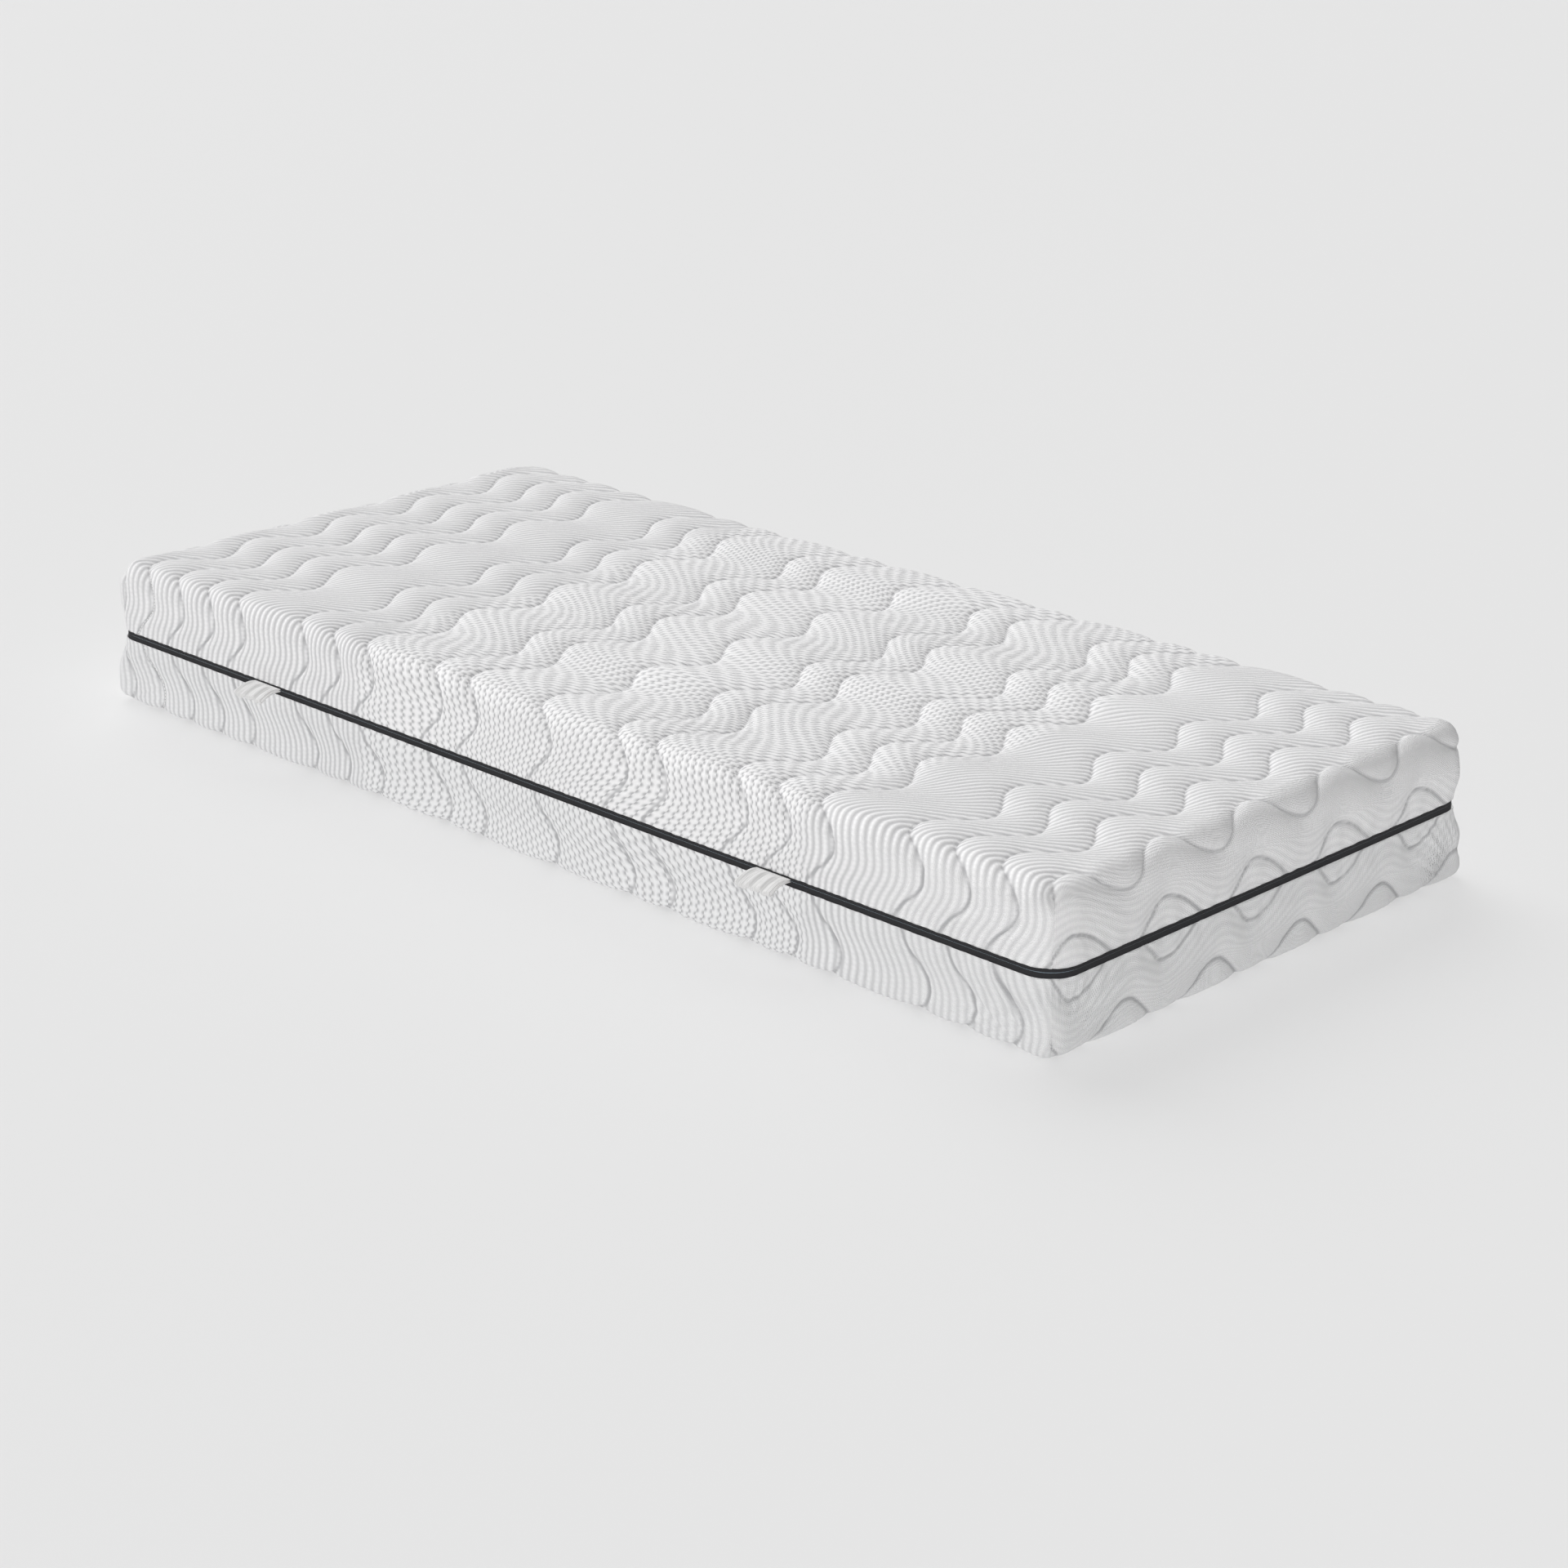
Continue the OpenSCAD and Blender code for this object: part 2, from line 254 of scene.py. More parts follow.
class Net:
    """The node tree of one material."""

    def __init__(self, name):
        self.material = bpy.data.materials.new(name)
        self.material.use_nodes = True
        self.tree = self.material.node_tree
        self.shader = self.tree.nodes["Principled BSDF"]

    def add(self, kind, choices=None, values=None):
        node = self.tree.nodes.new(kind)
        for key, value in (choices or {}).items():
            setattr(node, key, value)
        for key, value in (values or {}).items():
            self.feed(node.inputs[key], value)
        return node

    def feed(self, socket, value):
        if isinstance(value, Signal):
            value = value.socket
        if isinstance(value, bpy.types.NodeSocket):
            self.tree.links.new(value, socket)
        else:
            socket.default_value = value

    def place(self):
        """Object coordinates: the vector, and its three parts."""
        vector = self.add("ShaderNodeTexCoord").outputs["Object"]
        return vector, self.parts(vector)

    def parts(self, vector):
        node = self.add("ShaderNodeSeparateXYZ", None, {0: vector})
        return [Signal(self, out) for out in node.outputs]

    def cloth(self, uv_name):
        """The parts of a place on a flat blank, from one of the mesh's UV maps."""
        return self.parts(self.add("ShaderNodeUVMap", {"uv_map": uv_name}).outputs[0])

    def attribute(self, name):
        node = self.add("ShaderNodeAttribute", {"attribute_name": name})
        return Signal(self, node.outputs["Fac"])

    def noise(self, vector, scale, detail=3.0, roughness=0.55):
        values = {"Vector": vector, "Scale": scale, "Detail": detail, "Roughness": roughness}
        node = self.add("ShaderNodeTexNoise", None, values)
        return Signal(self, node.outputs[0])

    def cells(self, vector, scale):
        node = self.add("ShaderNodeTexVoronoi", None, {"Vector": vector, "Scale": scale})
        return Signal(self, node.outputs["Distance"])

    def mix(self, factor, first, second):
        node = self.add("ShaderNodeMix", {"data_type": "RGBA"})
        self.feed(node.inputs[0], factor)
        for socket, value in ((node.inputs[6], first), (node.inputs[7], second)):
            self.feed(socket, (*value, 1.0) if isinstance(value, (tuple, list)) else value)
        return node.outputs[2]

    def finish(self, base, roughness, height=None, distance=0.001, strength=1.0, constants=None):
        self.feed(self.shader.inputs["Base Color"],
                  (*base, 1.0) if isinstance(base, (tuple, list)) else base)
        self.feed(self.shader.inputs["Roughness"], roughness)
        if height is not None:
            bump = self.add("ShaderNodeBump", None,
                            {"Height": height, "Distance": distance, "Strength": strength})
            self.feed(self.shader.inputs["Normal"], bump.outputs[0])
        for key, value in (constants or {}).items():
            self.shader.inputs[key].default_value = value
        return self.material


def rgb(value):
    return tuple(value[:3])


def shade(value, factor):
    return tuple(part * factor for part in value[:3])


def knit_material(name, base, first_line):
    """Double-jersey knit: ribs broken into small dashes, and a pierced waffle in the body
    zones. The mesh sinks every quilting line, but thread is drawn on one of them only."""
    net = Net(name)
    look, quilt = settings("finish"), settings("quilt")
    across, along, _ = net.cloth("ribs")
    flat, run, _ = net.cloth("cloth")
    place, (_, _, z) = net.place()
    pitch, dash_pitch, block_pitch = quilt.rib_pitch, quilt.dash_pitch, quilt.block_pitch
    rib = across.wave(pitch)
    dash = (along + across.stagger(pitch, dash_pitch)).wave(dash_pitch)
    block = (along + across.stagger(pitch, block_pitch)).wave(block_pitch)
    zone, calm = net.attribute("zone"), net.attribute("calm")
    ribbed = rib * (0.72 + 0.28 * dash)
    waffle = 1.0 - (1.0 - rib) ** 0.6 * (0.15 + 0.85 * block)
    pattern = ribbed * (1.0 - zone) + waffle * zone
    pattern = pattern * (1.0 - calm) + calm * 0.70
    yarn = flat.wave(YARN_ACROSS) * run.wave(YARN_ALONG)
    loft = net.attribute("loft")
    line = (flat - first_line) / quilt.line_pitch
    beside = (line - THREADED_LINE).size() * quilt.line_pitch
    seam = (1.0 - beside.rise(*THREAD_HALF)) * (1.0 - loft.rise(0.25, 0.45))
    stitch = seam * run.wave(STITCH_LENGTH).rise(0.10, 0.35)
    grain = yarn * (0.16 + 0.5 * calm) + net.noise(place, 900.0, 2.0) * 0.08
    height = pattern + grain + stitch * 0.4
    upright = 1.0 - z.rise(TOP_Z - 0.050, TOP_Z - 0.015)
    # Painted shade: darker where the rib relief is low, between the ribs and in the waffle's holes,
    # and between the yarns on the plain parts
    painted_hollow_shade = (1.0 - pattern) ** 1.3 * (0.60 + 0.32 * zone) + (1.0 - yarn) * calm * 0.12
    # Painted shade in the valleys of the quilting lines, stronger down the upright sides
    painted_crease_shade = (1.0 - loft.rise(0.0, 0.40)) * (0.28 + 0.34 * upright) * (1.0 - stitch)
    patchy = (net.noise(place, 11.0, 3.0) - 0.5) * 0.12
    # The knit's colour is mixed towards the painted shade colour in its hollows and in the quilting
    # valleys
    tone = net.mix((painted_hollow_shade + painted_crease_shade + patchy).rise(-0.1, 1.0), rgb(base), rgb(look.painted_hollow_shade))
    tone = net.mix(stitch, tone, rgb(look.thread))
    return net.finish(tone, 0.92 - 0.1 * rib, height, 0.0016, 0.9,
                      {"Sheen Weight": 0.2, "Sheen Roughness": 0.6, "Specular IOR Level": 0.15})


def fleece_material(name, base, scale=240.0):
    """Matted fibres, with looser clumps among them."""
    net = Net(name)
    place, _ = net.place()
    fluff = net.noise(place, scale, 4.0, 0.7)
    clump = net.noise(place, scale / 12, 2.0)
    tone = net.mix(fluff * 0.5 + clump * 0.4, shade(base, 0.82), rgb(base))
    return net.finish(tone, 0.95, fluff + clump * 0.6, 0.0008, 0.8,
                      {"Sheen Weight": 0.2, "Specular IOR Level": 0.15})


def foam_material(name, base, pore_scale):
    """Open-cell foam: fine pores with a few larger bubbles."""
    net = Net(name)
    place, _ = net.place()
    pores = net.cells(place, pore_scale)
    bubbles = net.cells(place, pore_scale / 4.5).rise(0.04, 0.16)
    mottling = net.noise(place, 9.0, 3.0)
    depth = pores.rise(0.05, 0.45) * 0.6 + bubbles * 0.4
    tone = net.mix(depth * 0.75 + mottling * 0.25, shade(base, 0.72), rgb(base))
    return net.finish(tone, 0.88, depth, 0.0012, 0.7, {"Specular IOR Level": 0.25})


def webbing_material(name, base):
    """Soft ribbed loop fabric: ribs along the loop and fine cross threads."""
    net = Net(name)
    along, across, _ = net.cloth("cloth")
    place, _ = net.place()
    rib = across.wave(LOOP_RIB)
    pick = (along + across.stagger(LOOP_RIB, LOOP_PICK)).wave(LOOP_PICK)
    worn = net.noise(place, 60.0, 3.0)
    tone = net.mix(rib * 0.5 + pick * 0.2 + worn * 0.3, shade(base, 0.80), rgb(base))
    return net.finish(tone, 0.85, rib * 0.7 + pick * 0.3, 0.0005, 0.8,
                      {"Sheen Weight": 0.2, "Specular IOR Level": 0.25})


def tape_material(name, base):
    """Woven zip tape: a herringbone along the band, faintly paler on its raised threads."""
    net = Net(name)
    _, (x, y, z) = net.place()
    run = x + y
    twill = (run + z.size() * 0.8).wave(TAPE_TWILL)
    cross = (run - z.size() * 0.8).wave(TAPE_TWILL)
    rows = z.wave(TAPE_ROW)
    weave = twill * 0.5 + cross * 0.3 + rows * 0.2
    tone = net.mix(weave, shade(base, 0.7), shade(base, 1.4))
    return net.finish(tone, 0.85, weave, 0.0003, 0.7, {"Specular IOR Level": 0.2})


def coil_material(name):
    """Dark plastic coil, with its turns side by side along the zip."""
    net = Net(name)
    _, (x, y, _) = net.place()
    turn = (x + y).wave(COIL_TURN)
    tone = net.mix(turn, (0.008, 0.008, 0.009), (0.035, 0.035, 0.038))
    return net.finish(tone, 0.38 + 0.15 * turn, turn, 0.0005, 1.0)


def metal_material(name, base):
    """Lacquered metal, worn bare in small spots."""
    net = Net(name)
    place, _ = net.place()
    grain = net.noise(place, 1400.0, 2.0)
    wear = net.noise(place, 260.0, 3.0).rise(0.62, 0.72)
    tone = net.mix(wear * 0.6, rgb(base), (0.30, 0.30, 0.31))
    return net.finish(tone, 0.32 + 0.12 * grain, grain, 0.00005, 0.5, {"Metallic": 0.85})


def label_material(name):
    """Plain woven label, with nothing on it."""
    net = Net(name)
    _, (_, y, z) = net.place()
    weave = y.wave(LABEL_YARN) * z.wave(LABEL_YARN)
    tone = net.mix(weave, (0.66, 0.66, 0.65), (0.78, 0.78, 0.77))
    return net.finish(tone, 0.55, weave, 0.0001, 0.6, {"Sheen Weight": 0.1})


def glue_material(name):
    """Sprayed glue: a web of drawn-out drops."""
    net = Net(name)
    place, _ = net.place()
    web = net.cells(place, 90.0)
    tone = net.mix(web.rise(0.1, 0.6), (0.70, 0.64, 0.45), (0.86, 0.80, 0.62))
    return net.finish(tone, 0.45, web, 0.0004, 0.6)


# ---------------------------------------------------------------- helpers

def smooth(low, high, value):
    """0 below low, 1 above high and an even swing between them."""
    t = np.clip((value - low) / (high - low), 0.0, 1.0)
    return t * t * (3 - 2 * t)


def plateau(zone, value):
    """1 in the middle of a zone given by four places, 0 outside it."""
    start, full, fade, end = zone
    return smooth(start, full, value) * (1 - smooth(fade, end, value))


def noise_at(places, scale, seed):
    """Noise at each of the places; the scale is for each of their two directions."""
    return np.array([noise.noise(Vector((a * scale[0], b * scale[1], seed))) for a, b in places])


def new_piece(name, bm, material, body):
    mesh = bpy.data.meshes.new(name)
    bm.to_mesh(mesh)
    bm.free()
    mesh.shade_smooth()
    piece = bpy.data.objects.new(name, mesh)
    bpy.context.scene.collection.objects.link(piece)
    mesh.materials.append(material)
    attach(piece, body)
    return piece


def paint_node(node, material):
    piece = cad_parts[node]
    piece.data.materials.clear()
    piece.data.materials.append(material)
    return piece


# ---------------------------------------------------------------- quilted cover

class Cover:
    """One half of the cover. Places on its flat blank are (s, v): s runs from the head
    to the foot, v across the width, both measured along the cloth from the middle."""

    def __init__(self, side):
        quilt = settings("quilt")
        self.quilt = quilt
        self.side = side
        self.edge = quilt.edge_radius if side > 0 else quilt.lower_edge_radius
        self.shift = 0.0 if side > 0 else quilt.lower_shift
        self.drop = TOP_Z - ZIP_Z - HEM_H
        self.saved = 2 * self.edge - self.edge * math.pi / 2
        self.blank_l = HALF_L + self.drop - self.saved
        self.blank_w = HALF_W + self.drop - self.saved
        self.lines = np.array([self.line_place(k) for k in LINE_NUMBERS if k not in SKIPPED_LINES])

    def line_place(self, k):
        even = self.quilt.first_line + self.shift + k * self.quilt.line_pitch
        return even + FOOT_LINE_EXTRA * max(0, k - LAST_EVEN_LINE)

    def swing(self, s, v):
        """Sideways swing of a quilting line: slow one way and quick the other, and the
        other way round on the ends."""
        q = self.quilt
        face = 1 - smooth(HALF_W - 0.050, HALF_W + 0.020, np.abs(v))
        t = np.mod(v - q.wave_start, q.wave_length) / q.wave_length
        slow = q.wave_skew + (q.end_skew - q.wave_skew) * smooth(HALF_L - 0.070, HALF_L, np.abs(s))
        angle = np.where(t < slow, t / slow, (1 - t) / (1 - slow))
        off_face = smooth(HALF_L - 0.050, HALF_L + 0.010, np.abs(s))
        return q.wave_height * np.cos(math.pi * angle) - q.top_shift * face * (1 - off_face)

    def sharp(self, cloth, half):
        """Distance along a sharp-edged block for a distance along the rounded cloth."""
        size = np.abs(cloth)
        start = half - self.edge
        arc = self.edge * math.pi / 2
        out = np.where(size < start, size, start + (size - start) * 4 / math.pi)
        out = np.where(size > start + arc, size + self.saved, out)
        return np.sign(cloth) * out

    def base(self, s, v):
        """Smooth cover without its quilting, as points (n, 3)."""
        p, q = self.sharp(s, HALF_L), self.sharp(v, HALF_W)
        e = self.edge
        half_h = TOP_Z - ZIP_Z
        x, y = np.minimum(np.abs(p), HALF_L), np.minimum(np.abs(q), HALF_W)
        fall = np.maximum(np.abs(p) - HALF_L, 0) + np.maximum(np.abs(q) - HALF_W, 0)
        h = half_h - fall
        turn = [np.tan(np.clip((value - (limit - e)) / e, 0, 1) * math.pi / 4)
                for value, limit in ((x, HALF_L), (y, HALF_W), (h, half_h))]
        size = np.sqrt(turn[0] ** 2 + turn[1] ** 2 + turn[2] ** 2)
        size = np.maximum(size, 1e-9)
        x = np.minimum(x, HALF_L - e) + e * turn[0] / size
        y = np.minimum(y, HALF_W - e) + e * turn[1] / size
        h = np.minimum(h, half_h - e) + e * turn[2] / size
        x, y = self.round_corner(x, y, h)
        flat = np.maximum(np.sqrt(turn[0] ** 2 + turn[1] ** 2), 1e-9)
        draw = self.waist(h) * np.where(size > 0, flat / size, 0)
        x -= draw * turn[0] / flat
        y -= draw * turn[1] / flat
        return np.stack([np.sign(s) * x, np.sign(v) * y, ZIP_Z + self.side * h], axis=1)

    def corner_r(self, h):
        """Plan radius of the upright corners; the lower half is sharper near its base."""
        wide = self.quilt.corner_radius
        narrow = wide if self.side > 0 else self.edge + 0.002
        return narrow + (wide - narrow) * (1 - smooth(0.012, 0.075, h))

    def round_corner(self, x, y, h):
        r = self.corner_r(h)
        step = r - self.edge
        dx, dy = x - (HALF_L - r), y - (HALF_W - r)
        near = (dx > 0) & (dy > 0)
        angle = np.arctan2(np.maximum(dy, 1e-9), np.maximum(dx, 1e-9))
        c, t = np.cos(angle), np.sin(angle)
        along = step * (c + t)
        ring = along + np.sqrt(np.maximum(along ** 2 - 2 * step ** 2 + self.edge ** 2, 0))
        c, t = np.maximum(c, 1e-9), np.maximum(t, 1e-9)
        reach = np.where(t / c < step / r, r / c, np.where(c / t < step / r, r / t, ring))
        factor = np.where(near, r / reach, 1.0)
        x = np.where(near, HALF_L - r + dx * factor, x)
        y = np.where(near, HALF_W - r + dy * factor, y)
        return x, y

    def waist(self, h):
        return self.quilt.waist * (1 - smooth(HEM_H, 0.042, h))

    def rib(self, s, v):
        """Place across the ribs: they run down the sides and slant over the face, and
        swirl in the body zones."""
        table = np.linspace(-self.blank_w, self.blank_w, 1201)
        slant = 1 - smooth(HALF_W - 0.100, HALF_W + 0.045, np.abs(table))
        face = np.interp(v, table, np.cumsum(slant) * (table[1] - table[0]))
        face = face * (1 - 0.8 * smooth(HALF_L - 0.04, HALF_L + 0.05, np.abs(s)))
        swirl = noise_at(zip(s, v), (3.1, 3.6), 2.0) * (0.010 + 0.085 * plateau(SWIRL_ZONE, s))
        return s - self.swing(s, v) * 0.65 - 0.9 * face + swirl

    def zone(self, s, v):
        """1 where the knit is a waffle, 0 where it is ribbed, in loose-edged zones."""
        patch = noise_at(zip(s, v), (4.4, 4.8), 7.0)
        return smooth(0.30, 0.70, plateau(WAFFLE_ZONE, s) * 1.1 + patch * 0.75 - 0.05)

    def calm(self, s, v):
        """Share by which the knit is plain: most on the ends, some on the sides by the foot."""
        ends = 0.72 * smooth(HALF_L - 0.05, HALF_L, np.abs(s))
        head = 0.12 * (1 - smooth(-0.95, -0.60, s))
        by_foot = 0.42 * smooth(0.58, 0.80, s) * smooth(HALF_W - 0.03, HALF_W + 0.02, np.abs(v))
        return np.maximum(ends + head, by_foot)

    def knit(self, s, v, rib_place):
        """Height of the knit's own relief, from 0 to 1."""
        q = self.quilt
        swell = lambda value, period: 0.5 + 0.5 * np.sin(value * 2 * math.pi / period)
        rib = swell(rib_place, q.rib_pitch)
        step = np.mod(np.floor(rib_place / q.rib_pitch + 0.25), 2) * q.block_pitch / 2
        block = swell(v + step, q.block_pitch)
        zone, calm = self.zone(s, v), self.calm(s, v)
        waffle = 1 - (1 - rib) ** 0.6 * (0.15 + 0.85 * block)
        relief = rib * (1 - zone) + waffle * zone
        return relief * (1 - calm) + 0.7 * calm, zone, calm

    def loft(self, s, v):
        """0 on a quilting line and 1 well away from one, and the distance to that line."""
        swing = self.swing(s, v)
        slope = (self.swing(s, v + 0.001) - self.swing(s, v - 0.001)) / 0.002
        c = s - swing
        after = np.clip(np.searchsorted(self.lines, c), 1, len(self.lines) - 1)
        left, right = self.lines[after - 1], self.lines[after]
        width = right - left
        part = np.clip((c - left) / width, 0.0, 1.0)
        near = np.minimum(part, 1 - part) * width / np.sqrt(1 + slope ** 2)
        dome = np.sin(math.pi * part) * np.sqrt(width / self.quilt.line_pitch)
        steep = 1 - np.exp(-near / 0.0092)
        return 0.74 * steep + 0.26 * dome, near

    def depth(self, s, v):
        """Depth of the quilting at a place: a little less on the long sides, and next to
        nothing at the hem."""
        q = self.quilt
        out = np.maximum(np.abs(s) - HALF_L, 0) + np.maximum(np.abs(v) - HALF_W, 0)
        on_side = smooth(0.0, 0.03, out)
        ends = 1 + 0.3 * smooth(HALF_L - 0.01, HALF_L + 0.03, np.abs(s))
        edge_room = np.minimum(self.blank_l - np.abs(s), self.blank_w - np.abs(v))
        sewn = smooth(0.006, 0.036, edge_room)
        if self.side < 0:
            sewn = sewn * (1 - 0.45 * np.exp(-((out - 0.005) / 0.03) ** 2))
        full = q.stitch_depth * (1 - on_side) + q.side_depth * on_side * ends
        return full * (0.10 + 0.90 * sewn)


def cell_places(cover, end):
    """Places along the blank from 0 to end, close together beside quilting lines."""
    marks = [cover.line_place(k) for k in LINE_NUMBERS]
    marks = [-end] + [m for m in marks if abs(m) < end - 0.004] + [end]
    places = [-end]
    for a, b in zip(marks, marks[1:]):
        n = max(2, round((b - a) / ROW_STEP))
        u = np.arange(1, n + 1) / n
        places.extend(a + (b - a) * (u - 0.05 * np.sin(2 * math.pi * u)))
    return np.array(places)


def flap_steps(cover):
    """Places down a side on the blank, past the edge line of the top."""
    edge_line = cover.edge * (1 - math.pi / 4)
    sharp_steps = np.linspace(0, cover.drop, round(cover.drop / SIDE_STEP) + 1)[1:]
    arc = np.minimum(sharp_steps, cover.edge) * math.pi / 4
    return -edge_line + arc + np.maximum(sharp_steps - cover.edge, 0)


def cover_grid(cover):
    """The blank as a grid with its corner squares cut out and its corners sewn up."""
    edge_line = cover.edge * (1 - math.pi / 4)
    top_l, top_w = HALF_L - edge_line, HALF_W - edge_line
    side = flap_steps(cover)
    top_s = cell_places(cover, top_l)
    rows = round(2 * top_w / cover.quilt.mesh_step)
    top_v = np.linspace(-top_w, top_w, rows + 1)
    s_places = np.concatenate([-(HALF_L + side)[::-1], top_s, HALF_L + side])
    v_places = np.concatenate([-(HALF_W + side)[::-1], top_v, HALF_W + side])
    n, m = len(s_places), len(v_places)
    bm = bmesh.new()
    blank = bm.verts.layers.float_vector.new("blank")
    uv = bm.loops.layers.uv.new("cloth")
    rib_uv = bm.loops.layers.uv.new("ribs")
    rib_place = bm.verts.layers.float.new("rib_place")
    bmesh.ops.create_grid(bm, x_segments=n - 1, y_segments=m - 1, size=0.5,
                          matrix=Matrix.Diagonal((n - 1, m - 1, 1, 1)))
    bm.verts.ensure_lookup_table()
    co = np.array([v.co[:2] for v in bm.verts])
    i = np.rint(co[:, 0] + (n - 1) / 2).astype(int)
    j = np.rint(co[:, 1] + (m - 1) / 2).astype(int)
    a, v = s_places[i], v_places[j]
    near_s = smooth(top_l - STRAIGHTEN, top_l - 0.006, np.abs(a))
    near_v = smooth(top_w - STRAIGHTEN, top_w - 0.006, np.abs(v))
    end = smooth(cover.blank_l - 0.060, cover.blank_l, np.abs(a))
    s = a + cover.swing(a, v) * (1 - near_s * near_v) * (1 - end)
    points = cover.base(s, v)
    flat = s - cover.swing(s, v)
    rib = cover.rib(s, v)
    for vert, point, place, run in zip(bm.verts, points, zip(s, v, flat), rib):
        vert.co = point
        vert[blank] = place
        vert[rib_place] = run
    flap = len(side)
    cut = [vert for vert, x, y in zip(bm.verts, i, j)
           if (x < flap or x > n - 1 - flap) and (y < flap or y > m - 1 - flap)]
    for face in bm.faces:
        for loop in face.loops:
            place = loop.vert[blank]
            loop[uv].uv = (place.z, place.y)
            loop[rib_uv].uv = (loop.vert[rib_place], place.y)
    bmesh.ops.delete(bm, geom=cut, context="VERTS")
    rim = [vert for vert in bm.verts if vert.is_boundary]
    bmesh.ops.remove_doubles(bm, verts=rim, dist=0.0002)
    bmesh.ops.recalc_face_normals(bm, faces=bm.faces)
    bm.normal_update()
    return bm, blank


def wrinkles(cover, s, v, h):
    """Height of the creases: puckers by the zip, and pulls out of the corners."""
    out_s, out_v = np.abs(s) - HALF_L, np.abs(v) - HALF_W
    run = np.where(out_s > out_v, np.abs(v), np.abs(s))
    near_hem = 1 - smooth(0.004, 0.045, h - HEM_H)
    on_side = smooth(-0.01, 0.02, np.maximum(out_s, out_v))
    gather = GATHER_HEIGHT * np.sin(run * 2 * math.pi / GATHER_LENGTH + 1.7 * np.sin(run * 13.0))
    to_corner = np.where(out_s > out_v, HALF_W - np.abs(v), HALF_L - np.abs(s))
    high = (TOP_Z - ZIP_Z) - h
    away = np.hypot(to_corner, high)
    angle = np.arctan2(high, np.maximum(to_corner, 1e-6))
    rays = np.sin(angle * 46.0 + 2.0 * np.sin(away * 30.0)) * 0.7 + np.sin(angle * 27.0 + 1.0) * 0.3
    reach = smooth(0.040, 0.090, away) * (1 - smooth(0.11, 0.19, to_corner))
    reach = reach * smooth(0.0, 0.012, h - HEM_H)
    amount = PULL_HEIGHT_LOWER if cover.side < 0 else PULL_HEIGHT_UPPER
    pulls = amount * np.where(s > 0, 1.0, HEAD_PULL_SHARE) * rays * reach
    return (gather * near_hem + pulls) * on_side


def seam_groove(s, v):
    """Depth of the upright seam where the blank is sewn up at a corner."""
    out_s, out_v = np.abs(s) - HALF_L, np.abs(v) - HALF_W
    away = np.where(out_s > out_v, np.abs(out_v), np.abs(out_s))
    down = np.maximum(out_s, out_v)
    return SEAM_DEPTH * np.exp(-(away / SEAM_WIDTH) ** 2) * smooth(0.0, 0.02, down)


def quilt_cover(cover, bm, blank):
    """Sinks the quilting lines, raises the creases and records the loft."""
    rib_layer = bm.verts.layers.float["rib_place"]
    places = np.array([vert[blank] for vert in bm.verts])
    points = np.array([vert.co for vert in bm.verts])
    normals = np.array([vert.normal for vert in bm.verts])
    rib_places = np.array([vert[rib_layer] for vert in bm.verts])
    s, v = places[:, 0], places[:, 1]
    relief, zone, calm = cover.knit(s, v, rib_places)
    loft, near = cover.loft(s, v)
    h = (points[:, 2] - ZIP_Z) * cover.side
    seed = 3.0 if cover.side > 0 else 11.0
    slow = noise_at(places[:, :2], (5, 5), seed)
    quick = noise_at(places[:, :2], (70, 70), seed + 5)
    pucker = cover.quilt.pucker * quick * np.exp(-near / 0.016) * 2.2
    lift = -cover.depth(s, v) * (1 - loft) + 0.0016 * slow + pucker
    lift += wrinkles(cover, s, v, h) - seam_groove(s, v)
    lift = np.minimum(lift, PROUD_AT_ZIP + PROUD_MORE * smooth(0.020, 0.060, h))
    lift -= cover.quilt.rib_height * (1 - relief) * smooth(0.002, 0.012, near)
    deepest = DEEPEST_AT_TAPE + (DEEPEST - DEEPEST_AT_TAPE) * smooth(*TAPE_TOP, h)
    lift = np.maximum(lift, cover.waist(h) - deepest)
    points += normals * lift[:, None]
    if cover.side < 0:
        points[:, 2] = np.maximum(points[:, 2], 0.0)
    stores = [bm.verts.layers.float.new(name) for name in ("loft", "zone", "calm")]
    for vert, point, *values in zip(bm.verts, points, loft, zone, calm):
        vert.co = point
        for store, value in zip(stores, values):
            vert[store] = value
    bm.normal_update()


def close_inside(cover, bm, blank):
    """Turns the hem in and lines the half, so that the quilt is one closed pad. The rings
    are measured in from the smooth outline, which has none of the quilting's waves."""
    half_h = TOP_Z - ZIP_Z
    rim = [edge for edge in bm.edges if edge.is_boundary]
    hem = list({vert for edge in rim for vert in edge.verts})
    places = np.array([vert[blank] for vert in hem])
    smooth_hem = cover.base(places[:, 0], places[:, 1])
    start = {vert: (point[0], point[1]) for vert, point in zip(hem, smooth_hem)}
    rings = list(HEM_RINGS)
    inner_r = cover.edge - LINING_DEPTH
    for angle in np.radians(LINING_ANGLES):
        rings.append((cover.edge - inner_r * math.cos(angle) - cover.quilt.waist,
                      half_h - cover.edge + inner_r * math.sin(angle)))
    for offset, height in rings:
        made = bmesh.ops.extrude_edge_only(bm, edges=rim)["geom"]
        rim = [part for part in made if isinstance(part, bmesh.types.BMEdge) and part.is_boundary]
        verts = {vert for edge in rim for vert in edge.verts}
        for vert in verts:
            linked = [edge.other_vert(vert) for edge in vert.link_edges]
            x, y = start[vert] = start[[old for old in linked if old not in verts][0]]
            out = plan_normal(x, y)
            vert.co = (x - out[0] * offset, y - out[1] * offset, ZIP_Z + cover.side * height)
        for edge in rim:
            for face in edge.link_faces:
                face.material_index = 1 if height > HEM_RINGS[2][1] else 0
                face.smooth = True
    cap = bmesh.ops.contextual_create(bm, geom=rim)["faces"]
    for face in cap:
        face.material_index = 1
    bmesh.ops.recalc_face_normals(bm, faces=bm.faces)


